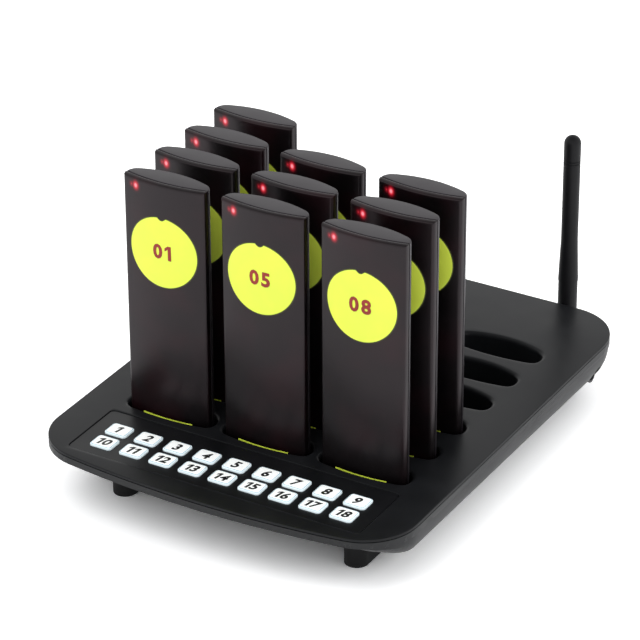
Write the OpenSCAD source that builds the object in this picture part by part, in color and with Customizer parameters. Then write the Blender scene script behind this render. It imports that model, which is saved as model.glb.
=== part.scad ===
// Guest pager system: a counter-top base with a numbered keypad, eighteen charging slots,
// ten slim pagers standing in them and a swivelling rod antenna at the rear.
// Millimetres, +Z up. Lengths along Y are measured back from the middle of the front edge.

/* [Base] */
// Width of the base, side to side
base_width = 217; // [212:1:260]
// Depth of the base, front edge to rear edge
base_depth = 281; // [278:1:330]
// Height of the deck above the table
deck_height = 37; // [36:0.5:50]
// Radius of the corners, seen from above
corner_radius = 31; // [28:1:36]
// Radius of the gently bowed front edge
front_edge_radius = 560; // [450:10:900]
// Thickness of the deck
deck_thickness = 1.9; // [1.6:0.1:2.4]
// Height of the deck's own rim
rim_height = 1.4; // [1:0.1:1.5]
// How far the parting groove is set in from the edge
groove_inset = 0.8; // [0.5:0.1:1.2]
// Wall of the lower shell
shell_wall = 2; // [1.6:0.1:2.4]
// Depth of the upright band round the base, below the deck
band_depth = 5.6; // [5:0.1:7]
// Radius of the bowl-shaped side below the band
bowl_radius = 25.3; // [24.5:0.1:27]
// Slope of the underside behind the front edge, in degrees
nose_slope = 28; // [24:1:32]
// How far behind the front edge that slope starts
nose_start = 8; // [7:0.5:10]

/* [Slots] */
// Slots side by side
slot_columns = 3; // [3:1:3]
// Slots front to rear
slot_rows = 6; // [6:1:6]
// Distance between columns
column_pitch = 58.7; // [58:0.1:62]
// From the last row to the rear edge
rear_margin = 60.8; // [60:0.1:64]
// From the front edge to the first row
first_row = 73.2; // [72:0.1:76]
// Clearance round a pager in its slot
slot_clearance = 1.5; // [1:0.1:1.7]
// Curve of a slot's front, edge to middle
slot_front_bulge = 2.5; // [2:0.1:4]
// Depth of a slot below the deck
slot_depth = 20; // [16:0.5:20]
// Wall and floor of a slot
slot_wall = 1.5; // [1.2:0.1:1.6]

/* [Keypad] */
// Width of the keypad panel
panel_width = 174.4; // [172:0.1:176]
// Depth of the keypad panel, front to rear
panel_depth = 42.9; // [40:0.1:44]
// From the front edge to the panel
panel_front = 13.9; // [13.5:0.1:15]
// Thickness of the panel
panel_thickness = 1.6; // [1.2:0.1:1.6]
// Radius of the panel's corners
panel_corner = 2.5; // [1:0.1:4]
// How far the panel lies below the deck
panel_recess = 0.4; // [0.2:0.1:0.6]
// Groove round the panel
panel_gap = 0.4; // [0.3:0.1:0.6]
// Keys in each row
keys_in_row = 9; // [9:1:9]
// From the panel's end to the first key
key_end_margin = 8.7; // [8:0.1:12]
// Distance between the two rows of keys
key_pitch_y = 14.1; // [13.8:0.1:15]
// Width of a key
key_width = 13; // [12:0.1:14]
// Depth of a key, front to rear
key_depth = 11; // [10:0.1:11.4]
// Radius of a key's corners
key_corner = 2; // [1:0.1:3]
// Height of a key above the deck
key_rise = 0.7; // [0.6:0.1:1.4]
// Width of the bevel round a key's top
key_bevel = 0.8; // [0.3:0.1:1]
// Clearance round a key in the panel
key_clearance = 0.2; // [0.15:0.05:0.3]
// Key travel
key_travel = 0.5; // [0.3:0.05:0.6]

/* [Pagers] */
// Pagers standing in the left, middle and right columns
pagers_in_column = [4, 3, 3];
// Width of a pager
pager_width = 49.2; // [48:0.1:51]
// Thickness of a pager at its middle
pager_thickness = 16.2; // [15.4:0.1:16.8]
// Height of a pager above the deck
pager_rise = 136.2; // [120:0.1:150]
// Curve of the pager's front, edge to middle
pager_front_bulge = 3.1; // [2:0.1:4]
// Radius of the pager's back
pager_back_radius = 58; // [52:1:70]
// Radius of the rear corners
pager_back_corner = 6.5; // [4:0.1:8]
// Thickness of the front cover
cover_thickness = 2.9; // [2.4:0.1:3.2]
// Bevel round the front cover
cover_bevel = 0.9; // [0.4:0.1:1.2]
// Seam between the front cover and the rear housing
seam_gap = 0.5; // [0.3:0.1:0.7]

/* [Antenna] */
// From the centre line to the antenna
antenna_x = 65; // [60:0.5:68]
// Antenna hinge below the deck
antenna_drop = 14; // [12:0.5:15]
// From the rear edge to the antenna's hinge
antenna_reach = 11; // [11:0.1:13]
// Height of the antenna's tip above the deck
antenna_rise = 99.5; // [80:0.5:130]
// Diameter of the antenna's upper rod
antenna_rod_d = 9.5; // [8:0.1:10]
// Diameter at the foot of the flare
antenna_flare_d = 11.3; // [10.8:0.1:12]
// Diameter of the lower barrel
antenna_barrel_d = 10.9; // [10.2:0.1:11.2]

/* [Hidden] */
$fn = 96;
eps = 0.01;
full_turn = 360;
quarter_turn = 90;

// How far a corner's circle stands out of the arc that it meets, so that the two cross cleanly
arc_overlap = 0.005;
// How far the pieces of one outline lie over each other
arc_lap = 0.5;
// Gap that keeps a part apart from the board it is soldered to
solder_gap = 0.1;

// ---- levels, measured up from the table
deck_z = deck_height;
rim_z = deck_z - rim_height;
seat_z = deck_z - deck_thickness;
band_z = deck_z - band_depth;
bowl_z = band_z - bowl_radius;
floor_z = bowl_z + shell_wall;
slot_floor_z = deck_z - slot_depth;
slot_under_z = slot_floor_z - slot_wall;

// ---- plan of the base
half_w = base_width / 2;
row_pitch = (base_depth - first_row - rear_margin) / (slot_rows - 1);
plan_mid = (base_depth + antenna_reach + antenna_flare_d / 2) / 2;
locating_gap = 0.3;
locating_wall = 1.5;
locating_drop = 0.1;
band_wall = 2.2;
band_floor = 1.6;
bowl_inset = 0.4;
mouth_front = nose_start + 2 * shell_wall;

// ---- keypad levels and places
panel_mid = panel_front + panel_depth / 2;
panel_top_z = deck_z - panel_recess;
panel_under_z = panel_top_z - panel_thickness;
frame_margin = 2.2;
frame_drop = 1.7;
frame_z = panel_under_z - frame_drop;
ledge_side = 4.2;
ledge_front = 2.9;
key_pitch_x = (panel_width - key_width - 2 * key_end_margin) / (keys_in_row - 1);
keys_forward = 2.4;
front_keys_y = panel_mid - key_pitch_y / 2 - keys_forward;
key_bevel_drop = 0.6;
flange_margin = 0.8;
flange_thickness = 0.9;
flange_gap = 0.1;
flange_z = panel_under_z - flange_gap - flange_thickness;
stem_d = 4;
stem_length = 1.5;
stem_z = flange_z - stem_length;
switch_spare = 0.1;
switch_gap = key_travel + switch_spare;
switch_top_z = stem_z - switch_gap;
switch_button_d = 3;
switch_button_h = 0.5;
switch_side = 6;
switch_h = 1.4;
keyboard_top_z = switch_top_z - switch_button_h - switch_h;
keyboard_thickness = 1.2;
keyboard_side = 1.4;
keyboard_front = 4.2;
keyboard_boss_d = 4.6;
keyboard_boss_side = 1.9;
keyboard_boss_front = 7.5;
keyboard_boss_x = panel_width / 2 - keyboard_boss_side;
keyboard_boss_y = panel_depth / 2 - keyboard_boss_front;

// ---- main board, contacts and fastenings
board_thickness = 1.6;
board_clearance = 2.7;
board_z = floor_z + board_clearance;
board_top_z = board_z + board_thickness;
board_side_margin = 20.5;
board_front_margin = 11;
board_rear_margin = 23;
board_width = base_width - 2 * board_side_margin;
board_front = first_row - board_front_margin;
board_rear = base_depth - board_rear_margin;
board_corner = 4;
radio_can = [38, 14, 3];
capacitor_d = 10;
capacitor_h = 12;
contact_d = 2;
contact_hole_d = 2.8;
contact_spacing = 16;
contact_y = 1.5;
contact_rise = 0.8;
contact_z = slot_floor_z + contact_rise;
post_d = 8;
post_hole_d = 8.8;
screw_d = 3;
screw_hole_d = 3.4;
screw_bore_d = 3.1;
screw_length = 8;
screw_head_d = 5.6;
screw_head_h = 1.8;
screw_pocket_d = 6.4;
screw_pocket_depth = 2.2;
screw_boss_d = 9.4;
screw_boss_h = 2;
post_z = floor_z + screw_boss_h;
screw_seat_z = bowl_z + screw_pocket_depth;
post_rows = [0.5, 3.5];
rear_post_x = 46;
rear_post_margin = 35;
rear_post_y = base_depth - rear_post_margin;
standoff_d = 6;
standoff_side = 16;
standoff_front_margin = 7;
standoff_rear_margin = 40;
standoff_x = board_width / 2 - standoff_side;
standoff_front = first_row - standoff_front_margin;
standoff_rear = base_depth - standoff_rear_margin;

// ---- feet
foot_width = 13.2;
foot_length = 26;
foot_side_margin = 38;
foot_rear_margin = 52;
foot_x = half_w - foot_side_margin;
foot_front = 41.5;
foot_rear = base_depth - foot_rear_margin;

// ---- power inlet
inlet_margin = 33;
inlet_lift = 5;
inlet_y = base_depth - inlet_margin;
inlet_z = board_top_z + inlet_lift;
inlet_hole_d = 11.4;
inlet_body = [13, 9, 10];
inlet_setback = 5.5;
inlet_body_x = board_width / 2 - inlet_setback;
inlet_nose_d = 9;
inlet_nose_length = 7;
inlet_bore_d = 6.4;
inlet_bore_depth = 9;
inlet_pin_d = 2;
inlet_pin_short = 1;

// ---- antenna
hinge_y = base_depth + antenna_reach;
hinge_z = deck_z - antenna_drop;
antenna_boss_d = 13;
antenna_boss_length = 10.4;
antenna_boss_inset = 0.6;
antenna_boss_rear = base_depth - antenna_boss_inset;
antenna_boss_front = antenna_boss_rear - antenna_boss_length;
socket_d = 6.35;
socket_hole_d = 6.55;
socket_bore_d = 2.2;
socket_bore_depth = 4;
socket_reach = 3.6;
socket_end = base_depth + socket_reach;
socket_flange_d = 9.6;
socket_flange_t = 1.6;
socket_tail_d = 4;
socket_tail = 5;
elbow_d = 9.2;
elbow_gap = 0.5;
elbow_start = antenna_boss_rear + elbow_gap;
elbow_fit = 0.06;
elbow_end_gap = 0.3;
elbow_bore_end = socket_end + elbow_end_gap;
elbow_rod_gap = 0.4;
elbow_body_end = hinge_y - antenna_barrel_d / 2 - elbow_rod_gap;
tongue_width = 4;
tongue_radius = 4.3;
tongue_clearance = 0.1;
tongue_root = 1;
hinge_pin_d = 3;
hinge_fit = 0.05;
hinge_pin_inset = 1.2;
cheek_inset = 0.2;
cheek_radius = antenna_barrel_d / 2 - cheek_inset;
cheek_slot_gap = 0.4;
cheek_slot_top = tongue_radius + cheek_slot_gap;
barrel_rise = 10;
barrel_top_z = deck_z + barrel_rise;
flare_band = 1;
flare_rise = 36;
flare_top_z = deck_z + flare_rise;
tip_z = deck_z + antenna_rise;
ring_drop = 15;
ring_z = tip_z - ring_drop;
ring_width = 0.7;
ring_pitch = 1.6;
ring_depth = 0.35;

// ---- pagers, in their own frame: x across, y back from the slot's row line, z up
pager_height = pager_rise + slot_depth;
pager_back_shift = 0.3;
pager_front_y = pager_back_shift - pager_thickness / 2;
pager_back_y = pager_back_shift + pager_thickness / 2;
pager_half = pager_width / 2;
pager_front_corner = 0.6;
slot_ease = 2.4;
front_radius = bulge_radius(pager_front_bulge);
slot_front_radius = bulge_radius(slot_front_bulge);
front_centre = pager_front_y + front_radius;
cover_back_y = pager_front_y + cover_thickness;
cover_sweep = 36;
housing_front_radius = front_radius - cover_thickness - seam_gap;
side_bevel_y = pager_front_y + pager_front_bulge;
pager_wall = 2;
ledge_depth = 6.6;
ledge_y = pager_front_y + ledge_depth;
tongue_half = 17;
tongue_fit = 0.3;
tongue_wall = 2;
tongue_lap = 0.5;
tongue_root_y = cover_back_y - tongue_lap;
tongue_low = 8;
tongue_top_margin = 14;
tongue_high = pager_height - tongue_top_margin;
cavity_half = 15.5;
cavity_depth = 4.7;
cavity_back = ledge_y + cavity_depth;
pocket_half = 12.4;
pocket_depth = 1.4;
pocket_low = 40;
pocket_high = 102;
lamp_zone = 7;
lamp_half = 20.8;
lamp_pocket = 3.1;
lamp_back = ledge_y + lamp_pocket;
circuit_setback = 0.9;
circuit_y = ledge_y + circuit_setback;
circuit_thickness = 1.2;
circuit_back = circuit_y + circuit_thickness;
circuit_half = 15;
circuit_low = 4;
circuit_top_margin = 3;
circuit_top = pager_height - circuit_top_margin;
lamp_board_depth = 6;
battery_half = 12;
battery_low = 44;
battery_high = 98;
motor_d = 10;
motor_z = 26;
lamp_x = 18.6;
lamp_drop = 5;
lamp_side = 3;
lamp_thickness = 0.8;
chip_side = 9;
chip_z = 122;
chip_thickness = 0.8;
blade_width = 3;
blade_thickness = 0.8;
blade_height = 9;
pad_width = 5.4;
pad_depth = 2.8;
pad_thickness = 0.8;
pad_opening_x = 6;
pad_opening_y = 3.4;

// ---- lists of places
slot_places = [for (c = [0:slot_columns - 1]) for (r = [0:slot_rows - 1]) [column_x(c), row_y(r)]];
pager_places = [
    for (c = [0:slot_columns - 1])
        for (r = [0:pagers_in_column[c] - 1])
            [column_x(c), row_y(r)]
];
post_places = concat(
    [for (side = [-1, 1]) for (r = post_rows) [side * column_pitch / 2, row_y(r)]],
    [for (side = [-1, 1]) [side * rear_post_x, rear_post_y]]
);
standoff_places = [for (side = [-1, 1]) for (y = [standoff_front, standoff_rear]) [side * standoff_x, y]];

function column_x(c) = (c - (slot_columns - 1) / 2) * column_pitch;
function row_y(r) = first_row + r * row_pitch;
function key_x(k) = ((k - 1) % keys_in_row - (keys_in_row - 1) / 2) * key_pitch_x;
function key_y(k) = front_keys_y + (k <= keys_in_row ? key_pitch_y : 0);
// Radius of a curve that rises by a bulge over half a pager's width
function bulge_radius(bulge) = (pager_half ^ 2 + bulge ^ 2) / (2 * bulge);
function two_digits(n) = n < 10 ? str("0", n) : str(n);
// Height of the sloping underside at a distance y from the front edge
function nose_z(y) = band_z - (y - nose_start) * tan(nose_slope);

KEYS = 2 * keys_in_row;
PAGERS = len(pager_places);
BASE_NODES = [
    "top_shell", "bottom_shell", "keypad_panel", "rubber_feet", "main_board", "charging_contacts",
    "key_switches", "case_screws", "power_socket", "antenna_socket", "antenna_elbow", "antenna_rod"
];

// ---------------------------------------------------------------- plan shapes

// A rectangle about the origin with rounded corners
module rounded_rectangle(w, d, r) {
    square([w - 2 * r, d], center = true);
    square([w, d - 2 * r], center = true);
    for (sx = [-1, 1])
        for (sy = [-1, 1])
            translate([sx * (w / 2 - r), sy * (d / 2 - r)])
                circle(r);
}

// Outline of the base, set in by a distance: straight sides and rear, bowed front, round corners
module base_plan(inset = 0) {
    r = corner_radius - inset;
    front_r = front_edge_radius - inset;
    corner_x = half_w - corner_radius;
    rear_y = base_depth - corner_radius;
    front_c = front_edge_radius;
    front_gap = front_edge_radius + arc_overlap - corner_radius;
    front_y = front_c - sqrt(front_gap ^ 2 - corner_x ^ 2);
    reach = front_r / front_gap;
    tangent = [corner_x * reach, front_c + (front_y - front_c) * reach];
    polygon([
        [-half_w + inset, front_y], [-tangent.x, tangent.y], [tangent.x, tangent.y], [half_w - inset, front_y],
        [half_w - inset, rear_y], [corner_x, base_depth - inset], [-corner_x, base_depth - inset],
        [-half_w + inset, rear_y]
    ]);
    for (side = [-1, 1])
        for (y = [front_y, rear_y])
            translate([side * corner_x, y])
                circle(r);
    intersection() {
        translate([0, front_c])
            circle(front_r, $fn = 4 * full_turn);
        translate([-tangent.x, 0])
            square([2 * tangent.x, tangent.y + arc_lap]);
    }
}

// Outline of a pager or a slot: curved front and back, upright sides, rounded corners
module shield_plan(w, front_y, back_y, front_r, back_r, front_corner, back_corner) {
    half = w / 2;
    back_c = back_y - back_r;
    back_x = half - back_corner;
    back_gap = back_r + arc_overlap - back_corner;
    back_cy = back_c + sqrt(back_gap ^ 2 - back_x ^ 2);
    back_reach = back_r / back_gap;
    back_t = [back_x * back_reach, back_c + (back_cy - back_c) * back_reach];
    front_c = front_y + front_r;
    front_x = half - front_corner;
    front_gap = front_r + arc_overlap - front_corner;
    front_cy = front_c - sqrt(front_gap ^ 2 - front_x ^ 2);
    front_reach = front_r / front_gap;
    front_t = [front_x * front_reach, front_c + (front_cy - front_c) * front_reach];
    polygon([
        [-half, front_cy], [-front_t.x, front_t.y], [front_t.x, front_t.y], [half, front_cy],
        [half, back_cy], [back_t.x, back_t.y], [-back_t.x, back_t.y], [-half, back_cy]
    ]);
    for (side = [-1, 1]) {
        translate([side * front_x, front_cy])
            circle(front_corner);
        translate([side * back_x, back_cy])
            circle(back_corner);
    }
    intersection() {
        translate([0, back_c])
            circle(back_r, $fn = 4 * full_turn);
        translate([-back_t.x, back_t.y - arc_lap])
            square([2 * back_t.x, back_r]);
    }
    intersection() {
        translate([0, front_c])
            circle(front_r, $fn = 4 * full_turn);
        translate([-front_t.x, front_t.y + arc_lap - front_r])
            square([2 * front_t.x, front_r]);
    }
}

// Outline of a slot: the pager's size with its clearance and a flatter front, grown by a further distance
module slot_plan(grow = 0) {
    c = slot_clearance + grow;
    shield_plan(
        pager_width + 2 * c, pager_front_y - c, pager_back_y + c,
        slot_front_radius + c, pager_back_radius + c, pager_front_corner + slot_ease + c, pager_back_corner + c
    );
}

module pager_plan() {
    shield_plan(
        pager_width, pager_front_y, pager_back_y,
        front_radius, pager_back_radius, pager_front_corner, pager_back_corner
    );
}

// Everything is placed by its distance from the front edge, and the whole stands about the origin
module on_base() {
    translate([0, -plan_mid, 0])
        children();
}

// ---------------------------------------------------------------- base shells

// The lower shell's bowl: one quarter-round wall carried round a rounded rectangle
module bowl(inset) {
    r = bowl_radius - inset;
    front_y = nose_start + inset;
    rear_y = base_depth - bowl_inset - inset;
    side_x = half_w - bowl_inset - inset;
    corner = corner_radius - bowl_inset - inset;
    core_x = side_x - corner;
    core_front = front_y + corner;
    core_rear = rear_y - corner;
    translate([0, 0, band_z - r])
        linear_extrude(r)
            polygon([
                [-core_x, front_y + r], [core_x, front_y + r], [core_x, core_front], [side_x - r, core_front],
                [side_x - r, core_rear], [core_x, core_rear], [core_x, rear_y - r], [-core_x, rear_y - r],
                [-core_x, core_rear], [-side_x + r, core_rear], [-side_x + r, core_front], [-core_x, core_front]
            ]);
    for (side = [0, 1])
        mirror([side, 0, 0]) {
            translate([side_x - r, core_front, band_z])
                rotate([quarter_turn, 0, 2 * quarter_turn])
                    mirror([1, 0, 0])
                        linear_extrude(core_rear - core_front)
                            bowl_quarter(r);
            for (end = [[core_front, -1], [core_rear, 1]])
                translate([core_x, end[0], band_z])
                    scale([1, end[1], 1])
                        rotate_extrude(angle = quarter_turn)
                            translate([corner - r, 0])
                                bowl_corner_profile(r, corner - r);
        }
    translate([-core_x, rear_y - r, band_z])
        rotate([quarter_turn, 0, quarter_turn])
            linear_extrude(2 * core_x)
                bowl_quarter(r);
    translate([core_x, front_y + r, band_z])
        rotate([quarter_turn, 0, -quarter_turn])
            linear_extrude(2 * core_x)
                bowl_quarter(r);
}

// A quarter disc below and to the right of the origin
module bowl_quarter(r) {
    intersection() {
        circle(r);
        translate([0, -r])
            square([r, r]);
    }
}

// The same quarter, with a block of the given width on its left
module bowl_corner_profile(r, block) {
    bowl_quarter(r);
    translate([-block, -r])
        square([block, r]);
}

// The space below the sloping underside, lifted by a distance
module nose_cut(lift) {
    far = base_depth;
    translate([-base_width, 0, 0])
        rotate([quarter_turn, 0, quarter_turn])
            linear_extrude(2 * base_width)
                polygon([
                    [nose_start - far, nose_z(nose_start) + lift],
                    [nose_start, nose_z(nose_start) + lift],
                    [far, nose_z(far) + lift],
                    [nose_start - far, nose_z(far) + lift]
                ]);
}

module bottom_shell() {
    slope_lift = shell_wall / cos(nose_slope);
    color("#3a3b3d")
    on_base()
    difference() {
        union() {
            translate([0, 0, band_z])
                linear_extrude(seat_z - band_z)
                    base_plan();
            difference() {
                bowl(0);
                nose_cut(0);
            }
        }
        difference() {
            union() {
                translate([0, 0, band_z + band_floor])
                    linear_extrude(deck_z)
                        base_plan(band_wall);
                difference() {
                    bowl(shell_wall);
                    nose_cut(slope_lift);
                }
                translate([0, mouth_front, band_z - eps])
                    linear_extrude(band_floor + 2 * eps)
                        bowl_mouth();
            }
            for (p = post_places)
                translate([p.x, p.y, 0])
                    cylinder(h = floor_z + screw_boss_h, d = screw_boss_d);
            for (p = standoff_places)
                translate([p.x, p.y, 0])
                    cylinder(h = board_z, d = standoff_d);
            antenna_boss();
        }
        for (p = post_places)
            translate([p.x, p.y, 0]) {
                cylinder(h = deck_z, d = screw_hole_d);
                cylinder(h = screw_seat_z, d = screw_pocket_d);
            }
        translate([half_w - bowl_radius, inlet_y, inlet_z])
            rotate([0, quarter_turn, 0])
                cylinder(h = bowl_radius + eps, d = inlet_hole_d);
        along_socket(antenna_boss_front - 1)
            cylinder(h = antenna_boss_rear - antenna_boss_front + 2, d = socket_hole_d);
    }
}

// Opening through the band's floor into the bowl
module bowl_mouth() {
    w = base_width - 2 * (bowl_inset + shell_wall);
    d = base_depth - bowl_inset - shell_wall - mouth_front;
    translate([0, d / 2])
        rounded_rectangle(w, d, corner_radius - bowl_inset - shell_wall);
}

module antenna_boss() {
    along_socket(antenna_boss_front)
        cylinder(h = antenna_boss_rear - antenna_boss_front, d = antenna_boss_d);
}

module top_shell() {
    color("#46474a")
    on_base()
    difference() {
        union() {
            translate([0, 0, rim_z])
                linear_extrude(rim_height)
                    base_plan();
            translate([0, 0, seat_z])
                linear_extrude(deck_thickness - rim_height)
                    base_plan(groove_inset);
            locating_lip();
            for (p = slot_places)
                translate([p.x, p.y, slot_under_z])
                    linear_extrude(seat_z - slot_under_z)
                        slot_plan(slot_wall);
            translate([0, panel_mid, frame_z])
                linear_extrude(seat_z - frame_z)
                    rounded_rectangle(
                        panel_width + 2 * (panel_gap + frame_margin),
                        panel_depth + 2 * (panel_gap + frame_margin),
                        panel_corner + frame_margin
                    );
            for (p = post_places)
                translate([p.x, p.y, post_z])
                    cylinder(h = seat_z - post_z, d = post_d);
            for (side = [-1, 1])
                for (row = [-1, 1])
                    translate([side * keyboard_boss_x, panel_mid + row * keyboard_boss_y, keyboard_top_z])
                        cylinder(h = frame_z - keyboard_top_z, d = keyboard_boss_d);
        }
        for (p = slot_places)
            translate([p.x, p.y, 0]) {
                translate([0, 0, slot_floor_z])
                    linear_extrude(deck_z)
                        slot_plan();
                for (side = [-1, 1])
                    translate([side * contact_spacing / 2, contact_y, 0])
                        cylinder(h = deck_z, d = contact_hole_d);
            }
        translate([0, panel_mid, panel_under_z])
            linear_extrude(deck_z)
                rounded_rectangle(
                    panel_width + 2 * panel_gap, panel_depth + 2 * panel_gap, panel_corner + panel_gap
                );
        translate([0, panel_mid, 0])
            linear_extrude(deck_z)
                rounded_rectangle(
                    panel_width - 2 * ledge_side, panel_depth - 2 * ledge_front, panel_corner
                );
        for (p = post_places)
            translate([p.x, p.y, post_z - eps])
                cylinder(h = screw_length, d = screw_bore_d);
    }
}

// Thin wall under the deck that steps inside the lower shell's band
module locating_lip() {
    lip_z = band_z + band_floor + locating_drop;
    translate([0, 0, lip_z])
        linear_extrude(seat_z - lip_z)
            difference() {
                base_plan(band_wall + locating_gap);
                base_plan(band_wall + locating_gap + locating_wall);
            }
}

// ---------------------------------------------------------------- keypad

module keypad_panel() {
    color("#232325")
    on_base()
    translate([0, 0, panel_under_z])
        linear_extrude(panel_thickness)
            difference() {
                translate([0, panel_mid])
                    rounded_rectangle(panel_width, panel_depth, panel_corner);
                for (k = [1:KEYS])
                    translate([key_x(k), key_y(k)])
                        rounded_rectangle(
                            key_width + 2 * key_clearance, key_depth + 2 * key_clearance,
                            key_corner + key_clearance
                        );
            }
}

// One key: a bevelled cap, a flange that stops it under the panel and a stem that presses its switch
module key(k) {
    cap_z = flange_z + flange_thickness;
    cap_h = deck_z + key_rise - cap_z;
    color("white")
    on_base()
    translate([key_x(k), key_y(k), 0]) {
        translate([0, 0, cap_z])
            intersection() {
                linear_extrude(cap_h)
                    rounded_rectangle(key_width, key_depth, key_corner);
                translate([0, key_depth, 0])
                    rotate([quarter_turn, 0, 0])
                        linear_extrude(2 * key_depth)
                            bevelled_profile(key_width, cap_h);
                translate([-key_width, 0, 0])
                    rotate([quarter_turn, 0, quarter_turn])
                        linear_extrude(2 * key_width)
                            bevelled_profile(key_depth, cap_h);
            }
        translate([0, 0, flange_z])
            linear_extrude(flange_thickness)
                rounded_rectangle(key_width + 2 * flange_margin, key_depth + 2 * flange_margin, key_corner);
        translate([0, 0, stem_z])
            cylinder(h = stem_length, d = stem_d);
    }
}

// Upright section of a key: straight sides, bevelled at the top
module bevelled_profile(w, h) {
    polygon([
        [-w / 2, 0], [w / 2, 0], [w / 2, h - key_bevel_drop], [w / 2 - key_bevel, h],
        [-w / 2 + key_bevel, h], [-w / 2, h - key_bevel_drop]
    ]);
}

// Keypad board and its eighteen push switches
module key_switches() {
    color("#1f5a3a")
    on_base() {
        translate([0, panel_mid, keyboard_top_z - keyboard_thickness])
            linear_extrude(keyboard_thickness)
                rounded_rectangle(
                    panel_width - 2 * keyboard_side, panel_depth - 2 * keyboard_front, panel_corner
                );
        for (k = [1:KEYS])
            translate([key_x(k), key_y(k), keyboard_top_z]) {
                translate([-switch_side / 2, -switch_side / 2, solder_gap])
                    cube([switch_side, switch_side, switch_h - solder_gap]);
                translate([0, 0, switch_h])
                    cylinder(h = switch_button_h, d = switch_button_d);
            }
    }
}

// ---------------------------------------------------------------- inside and under the base

module main_board() {
    color("#1f5a3a")
    on_base() {
        translate([0, 0, board_z])
            linear_extrude(board_thickness)
                difference() {
                    translate([0, (board_front + board_rear) / 2])
                        rounded_rectangle(board_width, board_rear - board_front, board_corner);
                    for (p = post_places)
                        translate([p.x, p.y])
                            circle(d = post_hole_d);
                }
        translate([-radio_can.x / 2, board_rear - radio_can.y - board_corner, board_top_z + solder_gap])
            cube(radio_can);
        translate([-antenna_x, board_rear - capacitor_d, board_top_z + solder_gap])
            cylinder(h = capacitor_h, d = capacitor_d);
    }
}

// Two sprung charging pins under each slot
module charging_contacts() {
    color("gold")
    on_base()
    for (p = slot_places)
        for (side = [-1, 1])
            translate([p.x + side * contact_spacing / 2, p.y + contact_y, board_top_z])
                cylinder(h = contact_z - board_top_z, d = contact_d);
}

module case_screws() {
    color("silver")
    on_base()
    for (p = post_places)
        translate([p.x, p.y, screw_seat_z - screw_head_h]) {
            cylinder(h = screw_head_h, d = screw_head_d);
            cylinder(h = screw_head_h + screw_length, d = screw_d);
        }
}

// Four long rubber feet; the front pair rises to the sloping underside
module rubber_feet() {
    color("#1c1c1e")
    on_base()
    intersection() {
        for (side = [-1, 1])
            for (y = [foot_front, foot_rear])
                translate([side * foot_x, y, 0])
                    linear_extrude(band_z)
                        foot_plan();
        union() {
            nose_cut(0);
            translate([-base_width, 0, 0])
                cube([2 * base_width, base_depth, bowl_z]);
        }
    }
}

// A foot's outline, running back from the centre of its front end
module foot_plan() {
    circle(d = foot_width);
    translate([-foot_width / 2, 0])
        square([foot_width, foot_length - foot_width]);
    translate([0, foot_length - foot_width])
        circle(d = foot_width);
}

// Barrel socket for the power lead, on the edge of the main board
module power_socket() {
    color("#202022")
    on_base()
    translate([inlet_body_x, inlet_y, inlet_z]) {
        difference() {
            union() {
                translate([0, -inlet_body.y / 2, board_top_z - inlet_z])
                    cube(inlet_body);
                rotate([0, quarter_turn, 0])
                    cylinder(h = inlet_body.x + inlet_nose_length, d = inlet_nose_d);
            }
            translate([inlet_body.x + inlet_nose_length - inlet_bore_depth, 0, 0])
                rotate([0, quarter_turn, 0])
                    cylinder(h = inlet_bore_depth + 1, d = inlet_bore_d);
        }
        rotate([0, quarter_turn, 0])
            cylinder(h = inlet_body.x + inlet_nose_length - inlet_pin_short, d = inlet_pin_d);
    }
}

// ---------------------------------------------------------------- antenna

// Everything on the antenna turns about the line of its socket
module along_socket(y) {
    translate([antenna_x, y, hinge_z])
        rotate([-quarter_turn, 0, 0])
            children();
}

module antenna_socket() {
    color("gold")
    on_base()
    difference() {
        union() {
            along_socket(antenna_boss_front - socket_flange_t)
                cylinder(h = socket_flange_t, d = socket_flange_d);
            along_socket(antenna_boss_front - eps)
                cylinder(h = socket_end - antenna_boss_front + eps, d = socket_d);
            along_socket(antenna_boss_front - socket_flange_t - socket_tail)
                cylinder(h = socket_tail + eps, d = socket_tail_d);
        }
        along_socket(socket_end - socket_bore_depth)
            cylinder(h = socket_bore_depth + 1, d = socket_bore_d);
    }
}

module antenna_elbow() {
    color("#2a2a2c")
    on_base()
    difference() {
        union() {
            along_socket(elbow_start)
                cylinder(h = elbow_body_end - elbow_start, d = elbow_d);
            translate([antenna_x - tongue_width / 2, 0, hinge_z])
                rotate([quarter_turn, 0, quarter_turn])
                    linear_extrude(tongue_width) {
                        translate([elbow_body_end - tongue_root, -tongue_radius])
                            square([hinge_y - elbow_body_end + tongue_root, 2 * tongue_radius]);
                        translate([hinge_y, 0])
                            circle(tongue_radius);
                    }
        }
        along_socket(elbow_start - 1)
            cylinder(h = elbow_bore_end - elbow_start + 1, d = socket_d + 2 * elbow_fit);
        translate([antenna_x - tongue_width, hinge_y, hinge_z])
            rotate([0, quarter_turn, 0])
                cylinder(h = 2 * tongue_width, d = hinge_pin_d + 2 * hinge_fit);
    }
}

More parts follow.
